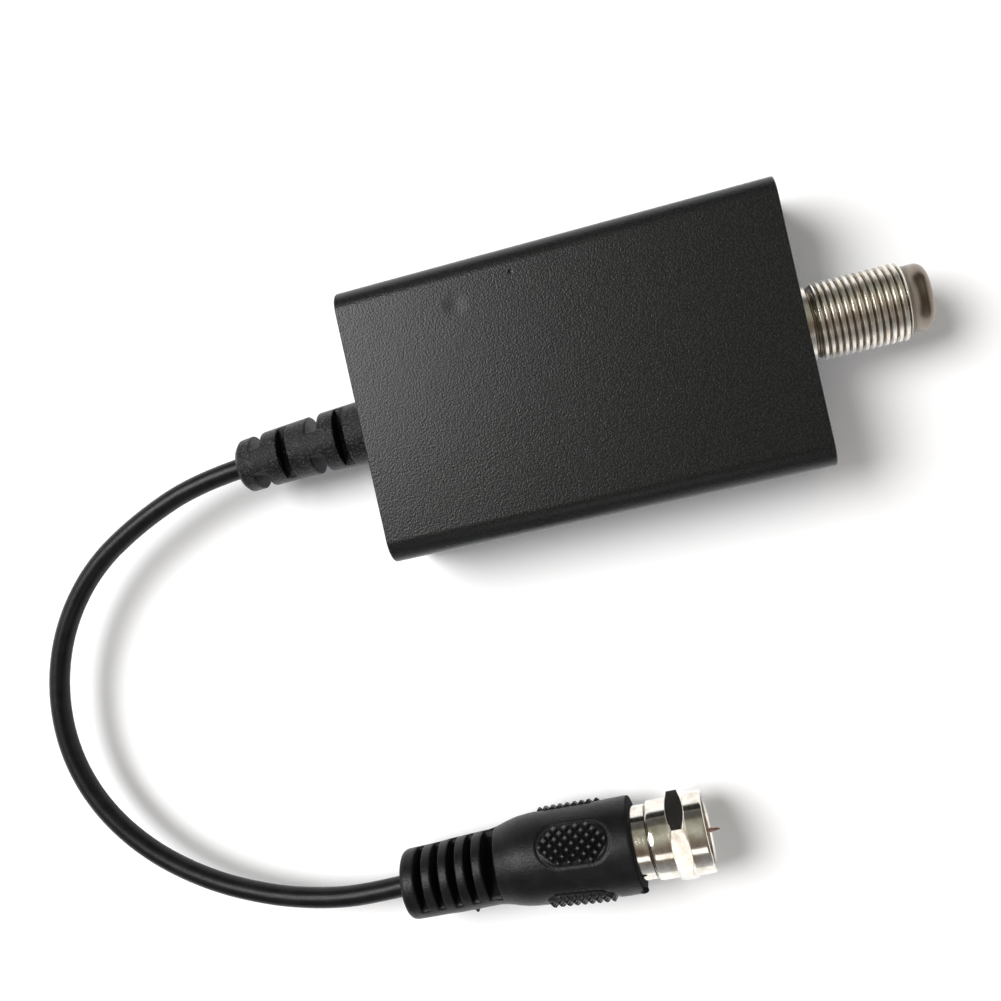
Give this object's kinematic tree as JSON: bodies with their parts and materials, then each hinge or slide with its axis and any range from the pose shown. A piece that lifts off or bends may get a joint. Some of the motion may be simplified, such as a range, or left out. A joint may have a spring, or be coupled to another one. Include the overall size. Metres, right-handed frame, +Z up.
{
  "type": "inline tv antenna adapter module",
  "caption": "Inline coaxial module for a TV antenna lead: moulded box with a threaded F socket and a short coaxial pigtail ending in a moulded F plug with a free-turning nut.",
  "frame": {"origin": "centre of the flat underside of the box, on the surface that it lies on", "axes": "+X along the box from the pigtail's strain relief to the threaded socket, +Y across the box away from the plug, +Z up out of the lid"},
  "size_m": [0.1275, 0.0843, 0.015],
  "materials": {
    "case_plastic": "spark-eroded texture",
    "boot_pvc": "moulded soft PVC",
    "cable_jacket": "smooth PVC",
    "nickel_plate": "turned and nickel plated",
    "insulator": "turned polyethylene",
    "contact_bronze": "satin",
    "copper_wire": "drawn",
    "tinned_braid": "tinned",
    "board": "solder mask",
    "chip_moulding": "moulded epoxy",
    "ceramic": "fired",
    "ferrite": "pressed",
    "screw_steel": "blackened"
  },
  "bodies": {
    "root": {"top_shell": "case_plastic", "bottom_shell": "case_plastic", "case_screws": "screw_steel", "circuit_board": "board", "amplifier_chip": "chip_moulding", "filter_coils": "copper_wire", "chip_capacitors": "ceramic", "supply_choke": "ferrite", "socket_body": "nickel_plate", "socket_front_insulator": "insulator", "socket_rear_insulator": "insulator", "socket_contact": "contact_bronze", "strain_relief": "boot_pvc", "cord_box_end": "cable_jacket", "cord_braid": "tinned_braid", "cord_dielectric": "insulator", "cord_conductor": "copper_wire", "cord": "cable_jacket", "plug_boot": "boot_pvc", "cord_plug_end": "cable_jacket", "plug_collar": "nickel_plate", "plug_post": "nickel_plate", "plug_dielectric": "insulator", "plug_pin": "copper_wire"},
    "coupling_nut": {"coupling_nut": "nickel_plate"}
  },
  "joints": [
    {"name": "coupling_nut_spin", "type": "hinge", "parent": "root", "child": "coupling_nut", "pos_m": [-0.00052, -0.05991, 0.0065], "axis": [0.9998, 0.0201, 0], "continuous": true}
  ]
}
